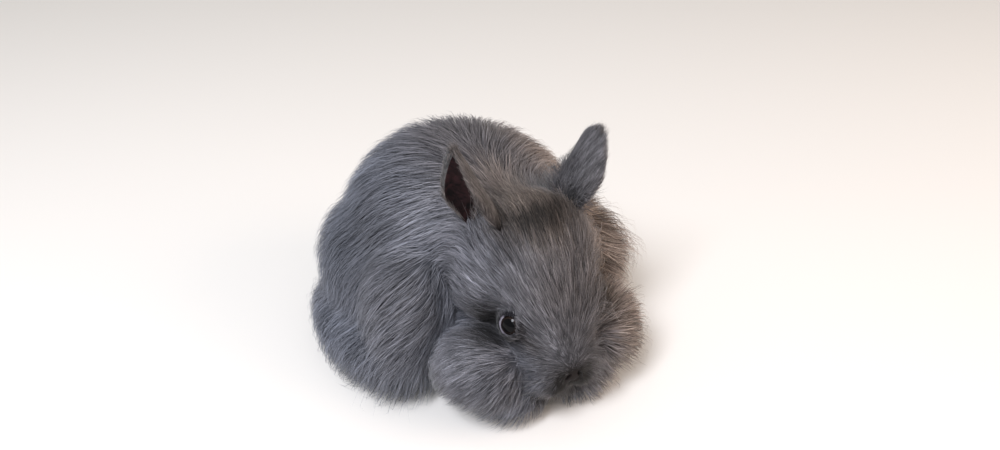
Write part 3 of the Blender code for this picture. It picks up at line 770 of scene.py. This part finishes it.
def takeRoots(count, wanted):
    # Random places on the skin, as many as the density there asks for
    middle = skinData["places"][skinData["corners"]].mean(axis=1)
    normal = unit(skinData["normals"][skinData["corners"]].mean(axis=1))
    onEar = skinData["stuff"] == 2
    length, stand, density = coatLook(middle, normal, onEar)
    density *= wanted(middle, length, onEar)
    for side, ahead, aside, _, _ in aroundEyes(middle):
        density[(ahead > 0) & (ahead < 12) & (aside < 1.07)] = 0
        density[distanceTo(middle, onSide(eye["place"], side)) < eye["radius"] + 0.5] = 0
    bareNose = distanceTo(middle, nose["bareMiddle"]) < nose["bareRadius"]
    density[(skinData["stuff"] == 1) | bareNose | (middle[:, 2] < 1.2 * mm)] = 0
    weight = np.cumsum(skinData["areas"] * density)
    picked = np.searchsorted(weight, chance.uniform(0, weight[-1], count))
    u, v = chance.uniform(size=(2, count))
    over = u + v > 1
    u[over], v[over] = 1 - u[over], 1 - v[over]
    parts = np.stack([1 - u - v, u, v], axis=1)[:, :, None]
    place, normal, patch = (
        (skinData[values][skinData[order][picked]] * parts).sum(axis=1)
        for values, order in (("places", "corners"), ("normals", "corners"), ("uvs", "loops")))
    return dict(place=place, normal=unit(normal), patch=patch, onEar=onEar[picked])


def coatDepth(places, normals):
    depths = np.empty(len(places))
    for i, (place, normal) in enumerate(zip(places.tolist(), normals.tolist())):
        hit = coatTree.ray_cast(place, normal, 0.02)
        depths[i] = hit[3] if hit[0] else 1.2 * mm
    return np.clip(depths, 0.8 * mm, coat["deepest"] * mm)


def layPaths(roots, length, stations):
    # Walks each tuft over the skin along the lay of the coat
    place, normal, onEar = roots["place"], roots["normal"], roots["onEar"]
    paths, ups = [place], [normal]
    way = layOfCoat(place, normal, onEar)
    for _ in range(stations - 1):
        ahead = place + way * (length / (stations - 1))[:, None]
        found = [skinTree.find_nearest(point) for point in ahead.tolist()]
        place = rows([hit[0] for hit in found])
        # Past an ear's rim or tip the hair runs on freely
        free = onEar & (np.linalg.norm(ahead - place, axis=1) > 0.5 * mm)
        place[free] = ahead[free]
        up = unit(rows([hit[1] for hit in found]) + ups[-1] * 0.8)
        way = unit(layOfCoat(place, up, onEar) * 0.6 + way * 0.6)
        way = unit(way - up * dots(way, up))
        paths.append(place)
        ups.append(up)
    paths, ups = np.stack(paths, axis=1), np.stack(ups, axis=1)
    # Near the floor the hair hangs down instead of following the body inwards
    start = paths[:, :1]
    outwards = unit(roots["normal"] * (1, 1, 0))[:, None]
    inwards = np.maximum(0, -dots(paths - start, outwards))
    long = (length > lay["hangLength"] * mm)[:, None, None]
    paths += outwards * inwards * ((1 - smoothStep(*lay["hang"], start[:, :, 2:] / mm)) * long)
    return paths, ups


def raisedLines(roots, size):
    # The middle line of each tuft: up out of the skin, then along the body
    count, stations = len(roots["place"]), size["stations"]
    length, stand, _ = coatLook(roots["place"], roots["normal"], roots["onEar"])
    length *= 1 + (chance.uniform(*size["length"], count) - 1)
    depth = coatDepth(roots["place"], roots["normal"])
    depth[roots["onEar"]] = 1.1 * mm
    share = np.linspace(0, 1, stations)[None, :]
    paths, ups = layPaths(roots, length * mm, stations)
    height = np.minimum(depth * chance.uniform(*size["height"], count) ** 0.8, 0.3 * length * mm)
    height += stand * mm * chance.uniform(0, 1, count) * size["stand"]
    sideways = 1 - 0.7 * smoothStep(0.3, 0.9, roots["normal"][:, 2])
    height += size["lift"] * mm * chance.uniform(0, 1, count) ** 3 * np.clip(length / 20, 0.1, 1) * sideways
    sink = coat["sink"] * mm
    heights = -sink + (height + sink)[:, None] * (1 - (1 - share) ** 2)
    lines = paths + ups * heights[:, :, None]
    # What stands out bends down under its weight
    lines[:, :, 2] -= np.maximum(height - depth, 0)[:, None] * share ** 2 * sideways[:, None] * 0.8
    return lines, ups, length, share


def everywhere(points, length, onEar):
    return np.ones(len(points))


def onTop(points, length, onEar):
    return (length > 7) * (1 + 3 * nearSpot(points, (0, -88, 86), 26))


def shortFur(points, length, onEar):
    return (length < 10) * 1.0


def alongOutline(points, length, onEar):
    leftwards = 0.25 + smoothStep(30, 55, points[:, 0] / mm) * 2
    return leftwards * (length > 8) * smoothStep(18, 34, points[:, 2] / mm)


def onEars(points, length, onEar):
    return onEar * 1.0


def onRim(points, length, onEar):
    near = np.zeros(len(points))
    near[onEar] = np.exp(-(fromRim(points[onEar]) / 0.9) ** 2)
    return near


# Tufts of one clump draw together a little towards one line, and those of one strand share a tone
clumpRoots = takeRoots(coat["clumps"], everywhere)
clumpTree = pointTree(clumpRoots["place"].tolist())
clumpTones = chance.normal(1, coat["clumpTone"], coat["clumps"])
strandTree = pointTree(takeRoots(coat["strands"], everywhere)["place"].tolist())
strandTones = chance.normal(1, coat["strandTone"], coat["strands"])
clumpLines = {}
for stations in (2, 3, 4):
    size = dict(stations=stations, length=(1, 1), height=(0.6, 0.6), stand=0.4, lift=0)
    clumpLines[stations] = raisedLines(clumpRoots, size)[0]


def clearOfEyes(lines):
    keep = np.ones(len(lines), bool)
    for side, ahead, aside, _, toNose in aroundEyes(lines):
        # The hair in front of the eye hangs over its rim a little
        rim = 0.98 - 0.30 * np.clip(toNose, 0, 1)
        keep &= ~((ahead > 0) & (ahead < 16) & (aside < rim)).any(axis=1)
        keep &= ~(distanceTo(lines[:, 1:], onSide(eye["place"], side)) < eye["radius"] + 0.4).any(axis=1)
    return keep


def growTufts(name, count, size):
    # size: length and height as shares of the coat's own, half width and lift in mm, pull to the clump's line
    roots = takeRoots(count, size["wanted"])
    lines, ups, length, share = raisedLines(roots, size)
    clump = np.array([clumpTree.find(point)[1] for point in roots["place"].tolist()])
    aim = clumpLines[size["stations"]][clump]
    reach = np.linalg.norm(aim - lines, axis=2).max(axis=1)
    pull = size["pull"] * np.clip(1 - reach / (coat["clumpReach"] * mm), 0, 1)
    pull *= chance.uniform(0.3, 1.0, count)
    pull[roots["onEar"]] *= 0.3
    lines += (aim - lines) * (pull[:, None] * share ** 1.6)[:, :, None]
    # A slight wave
    ways = np.diff(lines, axis=1)
    ways = unit(np.concatenate([ways, ways[:, -1:]], axis=1))
    sides = unit(np.cross(ways, ups))
    phase = chance.uniform(0, 6.28, count)[:, None]
    wave = np.sin(share * chance.uniform(3, 6, count)[:, None] + phase) - np.sin(phase)
    lines += sides * (wave * size["wave"] * (length * mm)[:, None] * share)[:, :, None]
    lines[:, :, 2] = np.maximum(lines[:, :, 2], chance.uniform(0.5, 2.0, count)[:, None] * mm)
    keep = clearOfEyes(lines)
    lines, ups, sides, length, clump = (values[keep] for values in (lines, ups, sides, length, clump))
    place, onEar, patch = (roots[key][keep] for key in ("place", "onEar", "patch"))
    count = len(lines)
    thick = size["halfWidth"] * mm * np.clip(length / 14, 0.6, 1.1) * chance.uniform(0.7, 1.3, count)
    thick = (thick[:, None] * (1 - share ** 2.2 * 0.55) * np.where(share == 0, 0.8, 1))[:, :-1, None]
    # Three-sided tufts, flatter than wide, that end in a point and take the light softly
    corners, facings = [], []
    for angle in (90, 210, 330):
        across, upwards = math.cos(math.radians(angle)), math.sin(math.radians(angle))
        outwards = sides[:, :-1] * across + ups[:, :-1] * upwards * 0.6
        corners.append(lines[:, :-1] + outwards * thick)
        facings.append(unit(ups[:, :-1] * coat["softness"] + outwards * (1 - coat["softness"])))
    points, facings = (
        np.concatenate([np.stack(parts, axis=2).reshape(count, -1, 3), tips[:, -1:]], axis=1)
        for parts, tips in ((corners, lines), (facings, ups)))
    # A tone for each clump, strand and tuft; strands differ most on the head
    strand = strandTones[[strandTree.find(point)[1] for point in place.tolist()]]
    strand **= 1.6 - 0.6 * smoothStep(-75, -50, place[:, 1] / mm)
    tone = clumpTones[clump] * strand * chance.normal(1, size["toneSpread"], count) * size["shade"]
    tone[chance.uniform(size=count) < size["paleShare"]] *= 1.3
    tuftMesh(name, points, facings, tuftColours(lines, share[0], tone, onEar), patch, size["stations"] - 1)


def tuftColours(lines, shares, tone, onEar):
    # Dark roots and pale tips. Neighbours take their markings and painted shade from places a little apart,
    # so that none has a sharp edge
    apart = chance.normal(0, 1, (len(lines), 3)) * (~onEar * coat["apart"] * mm)[:, None]
    middleAt = coat["middleAt"]
    colours = []
    for k, s in enumerate(shares):
        light, warm = toneOf(lines[:, k] + apart, onEar)
        root, middle, tip = (blendColours(warm, step) for step in range(3))
        if s < middleAt:
            colour = root + (middle - root) * s / middleAt
        else:
            colour = middle + (tip - middle) * (s - middleAt) / (1 - middleAt)
        colours.append(colour * (tone * light)[:, None])
    rings = np.repeat(np.stack(colours[:-1], axis=1), 3, axis=1)
    return np.clip(np.concatenate([rings, colours[-1][:, None]], axis=1), 0.002, 0.9)


def paint(mesh, name, colours):
    layer = mesh.color_attributes.new(name, "FLOAT_COLOR", "POINT")
    opacity = np.ones((len(mesh.vertices), 1))
    storeValues(layer.data, "color", np.concatenate([colours.reshape(-1, 3), opacity], axis=1))


def tuftMesh(name, points, facings, colours, patch, rings):
    count, perTuft = points.shape[:2]
    faces = []
    for ring in range(rings - 1):
        for k in range(3):
            a, b = ring * 3 + k, ring * 3 + (k + 1) % 3
            faces.append((a, a + 3, b + 3, b))
    last = (rings - 1) * 3
    for k in range(3):
        faces.append((last + (k + 1) % 3, last + k, perTuft - 1))
    faces.append((0, 1, 2))
    loops = np.array([i for face in faces for i in face])
    sizes = np.array([len(face) for face in faces])
    starts = np.concatenate([[0], np.cumsum(sizes)[:-1]])
    numbers = np.arange(count)[:, None]
    mesh = bpy.data.meshes.new(name)
    mesh.vertices.add(count * perTuft)
    storeValues(mesh.vertices, "co", points)
    mesh.loops.add(count * len(loops))
    storeValues(mesh.loops, "vertex_index", loops[None] + numbers * perTuft, np.int32)
    mesh.polygons.add(count * len(faces))
    storeValues(mesh.polygons, "loop_start", starts[None] + numbers * len(loops), np.int32)
    mesh.update(calc_edges=True)
    mesh.validate()
    paint(mesh, "hairColour", colours)
    # Each tuft's patch, 0.003 across, at its root's place on the skin's map
    spread = 0.003
    side = np.array([(k % 3) / 2 - 0.5 for k in range(rings * 3)] + [0.0]) * spread
    along = np.array([(k // 3) / rings - 0.5 for k in range(rings * 3)] + [0.5]) * spread
    uv = patch[:, None, :] + np.stack([side, along], axis=1)[None]
    storeValues(mesh.uv_layers.new(name="OFBake").uv, "vector", uv[:, loops])
    finishPiece(addObject(name, mesh), hairStuff)
    storeValues(mesh.attributes.new("custom_normal", "FLOAT_VECTOR", "POINT").data, "vector", facings)
    print(name, count, "tufts")


# The kinds of tufts. Where one has several pieces, they differ only by chance
kinds = dict(
    downFur=dict(
        pieces=2, tufts=10500, wanted=everywhere, stations=3, length=(0.35, 0.65), height=(0.05, 0.5),
        stand=0.2, lift=0.2, halfWidth=0.32, pull=0.2, wave=0.03, shade=0.82, toneSpread=0.05, paleShare=0.0),
    longCoat=dict(
        pieces=3, tufts=17400, wanted=everywhere, stations=3, length=(0.65, 1.15), height=(0.2, 1.0),
        stand=1.0, lift=0.8, halfWidth=0.15, pull=0.35, wave=0.04, shade=1.0, toneSpread=0.11, paleShare=0.1),
    fineCoat=dict(
        pieces=2, tufts=44000, wanted=everywhere, stations=2, length=(0.4, 0.75), height=(0.4, 1.05),
        stand=0.8, lift=0.4, halfWidth=0.12, pull=0.25, wave=0.0, shade=1.03, toneSpread=0.16, paleShare=0.2),
    silkyHair=dict(
        pieces=1, tufts=6000, wanted=onTop, stations=4, length=(0.9, 1.3), height=(0.75, 1.2), stand=1.1,
        lift=1.2, halfWidth=0.10, pull=0.3, wave=0.06, shade=1.0, toneSpread=0.12, paleShare=0.2),
    faceFur=dict(
        pieces=1, tufts=46000, wanted=shortFur, stations=2, length=(0.7, 1.2), height=(0.2, 1.1), stand=0.5,
        lift=0.5, halfWidth=0.135, pull=0.15, wave=0.0, shade=1.0, toneSpread=0.12, paleShare=0.1),
    earFur=dict(
        pieces=1, tufts=9000, wanted=onEars, stations=3, length=(0.8, 1.5), height=(0.4, 1.3), stand=0,
        lift=0.4, halfWidth=0.17, pull=0.3, wave=0.04, shade=0.95, toneSpread=0.25, paleShare=0.15),
    rimFur=dict(
        pieces=1, tufts=2500, wanted=onRim, stations=2, length=(0.4, 0.7), height=(0.3, 0.8), stand=0,
        lift=0, halfWidth=0.12, pull=0.0, wave=0.0, shade=1.25, toneSpread=0.1, paleShare=0.3),
    looseHair=dict(
        pieces=1, tufts=3500, wanted=alongOutline, stations=4, length=(0.8, 1.25), height=(0.9, 1.1),
        stand=1.6, lift=3.5, halfWidth=0.06, pull=0.15, wave=0.08, shade=1.05, toneSpread=0.1,
        paleShare=0.15))
quick = 1
for name, size in kinds.items():
    for number in range(size["pieces"]):
        ending = str(number + 1) if size["pieces"] > 1 else ""
        growTufts(name + ending, int(size["tufts"] * quick), size)

# The skin's colours: the coat's middles, with the same painted shade and light, and bare and dark at nose,
# lips and lids
places = skinData["places"]
onEarPoint = np.zeros(len(places), bool)
onEarPoint[skinData["corners"][skinData["stuff"] == 2].reshape(-1)] = True
light, warm = toneOf(places, onEarPoint)
shades = blendColours(warm, 1) * (light * coat["underCoat"])[:, None]
bare = np.exp(-(distanceTo(places, nose["darkMiddle"]) / nose["darkRadius"]) ** 4)[:, None]
shades = mix(shades, rows(linear(coat["noseSkin"])), bare)
for side, ahead, aside, outwards, _ in aroundEyes(places):
    lid = ((1 - smoothStep(1.2, 1.5, aside)) * (ahead > 0))[:, None]
    shades = mix(shades, rows(linear(coat["lidSkin"])), lid)
    # The back and lower edge of the lids is pale
    edge = (aside < 1.14) & (ahead > 0) & (outwards @ unit(rows((side * 0.2, 0.8, -0.75))) > 0.1)
    shades[edge] = linear(coat["lidEdge"])
paint(skin.data, "skinColour", shades)
finishPiece(skin)
removeObject(coatShape)
flesh = ["head", "neck", "torso", "tail"] + [part + side for part in ("foreleg_", "hindleg_", "ear_")
                                            for side in ("left", "right")]
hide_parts(*flesh)
print("coat grown")


def addEye(side, word):
    # A ball with a slightly bulging cornea; its points keep how far they lie from the line of sight
    middle = eyePlace(side)
    item = meshFrom("eye" + word.capitalize(), lambda shape: bmesh.ops.create_icosphere(
        shape, subdivisions=5, radius=eye["radius"] * mm, matrix=Matrix.Translation(middle)))
    offAxis = []
    for vertex in item.data.vertices:
        away = vertex.co - middle
        angle = away.angle(gaze(side)) / math.radians(60)
        vertex.co += away.normalized() * (eye["bulge"] * mm * max(0, 1 - angle ** 2))
        offAxis.append(angle)
    layer = item.data.attributes.new("offAxis", "FLOAT", "POINT")
    layer.data.foreach_set("value", offAxis)
    finishPiece(item, eyeMaterial(word))
    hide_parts("eye_" + word)


addEye(1, "left")
addEye(-1, "right")


def socketNamed(tree, name):
    return next(item.identifier for item in tree.interface.items_tree
                if item.item_type == "SOCKET" and item.in_out == "INPUT" and item.name == name)


def bristleTree():
    # Turns drawn hairs into tapered solid ones
    tree = bpy.data.node_groups.new("bristles", "GeometryNodeTree")
    for name, way, kind in (("Geometry", "INPUT", "Geometry"), ("Thickness", "INPUT", "Float"),
                            ("Material", "INPUT", "Material"), ("Geometry", "OUTPUT", "Geometry")):
        tree.interface.new_socket(name, in_out=way, socket_type="NodeSocket" + kind)
    given = addNode(tree, "NodeGroupInput")
    along = addNode(tree, "GeometryNodeSplineParameter")
    taper = addNode(tree, "ShaderNodeMapRange", {"To Min": 1.0, "To Max": 0.15},
                    {"Value": along.outputs["Factor"]})
    radius = addNode(tree, "ShaderNodeMath", {"operation": "MULTIPLY"},
                     {0: taper.outputs["Result"], 1: given.outputs["Thickness"]})
    profile = addNode(tree, "GeometryNodeCurvePrimitiveCircle", {"Resolution": 5, "Radius": 1.0})
    curve = addNode(tree, "GeometryNodeSetCurveRadius", {}, {
        "Curve": given.outputs["Geometry"], "Radius": radius.outputs["Value"]})
    solid = addNode(tree, "GeometryNodeCurveToMesh", {"Fill Caps": True}, {
        "Curve": curve.outputs["Curve"], "Profile Curve": profile.outputs["Curve"],
        "Scale": radius.outputs["Value"]})
    real = addNode(tree, "GeometryNodeRealizeInstances", {}, {"Geometry": solid.outputs["Mesh"]})
    finish = addNode(tree, "GeometryNodeSetMaterial", {}, {
        "Geometry": real.outputs["Geometry"], "Material": given.outputs["Material"]})
    addNode(tree, "NodeGroupOutput", {}, {"Geometry": finish.outputs["Geometry"]})
    return tree


bristles = bristleTree()


def addBristles(name, hairs, thickness, material):
    # hairs are lists of points in mm
    curve = bpy.data.curves.new(name, "CURVE")
    curve.dimensions = "3D"
    for hair in hairs:
        spline = curve.splines.new("POLY")
        spline.points.add(len(hair) - 1)
        for point, place in zip(spline.points, hair):
            point.co = (*(Vector(place) * mm), 1)
    drawn = addObject(name + "Drawn", curve)
    modifier = drawn.modifiers.new("Bristles", "NODES")
    modifier.node_group = bristles
    modifier[socketNamed(bristles, "Thickness")] = thickness * mm
    modifier[socketNamed(bristles, "Material")] = material
    item = addObject(name, evaluatedMesh(drawn))
    bpy.data.objects.remove(drawn, do_unlink=True)
    finishPiece(item, material)


def bentHair(root, way, length, drop, shares):
    # shares of its length at which the hair gets points; drop is how far its tip sinks
    way = Vector(way).normalized()
    return [Vector(root) + way * length * s + Vector((0, 0, -drop * s * s)) for s in shares]


whiskers = dict(
    perSide=8, length=(16, 27), drop=(2, 8), thickness=0.03, pad=((10, 15), (-104, -95), (26, 34)))
lottery = random.Random(5)
hairs = []
for side in (-1, 1):
    for _ in range(whiskers["perSide"]):
        root = Vector(onSide([lottery.uniform(*span) for span in whiskers["pad"]], side))
        root = skinTree.find_nearest(root * mm)[0] / mm
        way = (side, lottery.uniform(-0.25, 0.5), lottery.uniform(-0.45, 0.35))
        length, drop = lottery.uniform(*whiskers["length"]), lottery.uniform(*whiskers["drop"])
        hair = bentHair(root, way, length, drop, [k / 8 for k in range(9)])
        hairs.append([Vector((p.x, p.y, max(p.z, 1.0))) for p in hair])
addBristles("whiskers", hairs, whiskers["thickness"], whiskerStuff)

lashes = dict(perEye=16, length=(2.2, 3.6), drop=-0.4, thickness=0.07, ahead=5.6)
hairs = []
for side in (-1, 1):
    ahead = gaze(side)
    up = (Vector((0, 0, 1)) - ahead * ahead.z).normalized()
    aside = ahead.cross(up)
    middle = Vector(onSide(eye["place"], side))
    for k in range(lashes["perEye"]):
        angle = math.radians(20 + 140 * k / (lashes["perEye"] - 1))
        rim = aside * math.cos(angle) * eye["opening"][1] + up * math.sin(angle) * eye["opening"][0]
        root = middle + ahead * lashes["ahead"] + rim * 1.02
        way = ahead * 0.6 + rim.normalized() * 0.8 + up * 0.2
        length = lottery.uniform(*lashes["length"])
        hairs.append(bentHair(root, way, length, lashes["drop"], [k / 5 for k in range(6)]))
addBristles("lashes", hairs, lashes["thickness"], lashStuff)

# Short dark claws at the tips of the toes. For fore and hind foot: its place, how far aside each claw
# is, and how much further back for each mm aside
claws = dict(length=4.5, radius=0.75, drop=1.6, feet=(
    ((19.5, -83.5, 3.0), (-5.4, -1.8, 1.8, 5.4), 0.45), ((48, -14.0, 3.2), (-6.5, -2.2, 2.2, 6.5), 0.35)))
hairs = []
for side in (-1, 1):
    for (x, y, z), offsets, back in claws["feet"]:
        for offset in offsets:
            place = (side * x + offset, y + abs(offset) * back, z)
            way = (offset * 0.05, -1, -0.05)
            hairs.append(bentHair(place, way, claws["length"], claws["drop"], (0, 0.35, 0.7, 1)))
addBristles("claws", hairs, claws["radius"], clawStuff)
print("eyes, whiskers, lashes and claws added")

# Floor, light and camera
floor = meshFrom("floor", lambda shape: bmesh.ops.create_grid(shape, x_segments=1, y_segments=1, size=3))
floor.data.materials.append(newMaterial("paleFloor", {
    "Base Color": opaque("#e9e6e2"), "Roughness": 0.8, "Specular IOR Level": 0.2})[0])

world = bpy.data.worlds.new("softStudio")
world.use_nodes = True
background = world.node_tree.nodes["Background"]
background.inputs["Color"].default_value = opaque("#f3f1ee")
background.inputs["Strength"].default_value = 0.6
bpy.context.scene.world = world
bpy.context.scene.view_settings.view_transform = "Standard"


def addLight(name, place, aim, size, power, colour):
    light = bpy.data.lights.new(name, "AREA")
    light.size = size
    light.energy = power
    light.color = linear(colour)
    item = addObject(name, light)
    item.location = Vector(place)
    item.rotation_euler = (Vector(place) - Vector(aim)).to_track_quat("Z", "Y").to_euler()


addLight("window", (-0.65, -0.5, 1.0), (0, 0, 0.05), 0.4, 16.5, "#f4f7ff")
addLight("fill", (0.9, -0.8, 0.6), (0, 0, 0.05), 0.9, 8, "#ffe2cc")

camera = bpy.data.cameras.new("camera")
camera.lens = 36 * 0.86
camera.sensor_width = 36
camera.clip_start = 0.01
cameraObject = addObject("camera", camera)
azimuth, elevation = math.radians(-29), math.radians(31)
back = Vector((math.sin(azimuth) * math.cos(elevation), -math.cos(azimuth) * math.cos(elevation),
               math.sin(elevation)))
cameraObject.location = Vector((-172.5, -350.7, 292.3)) * mm + shift
cameraObject.rotation_euler = back.to_track_quat("Z", "Y").to_euler()
bpy.context.scene.camera = cameraObject

print("scene ready")
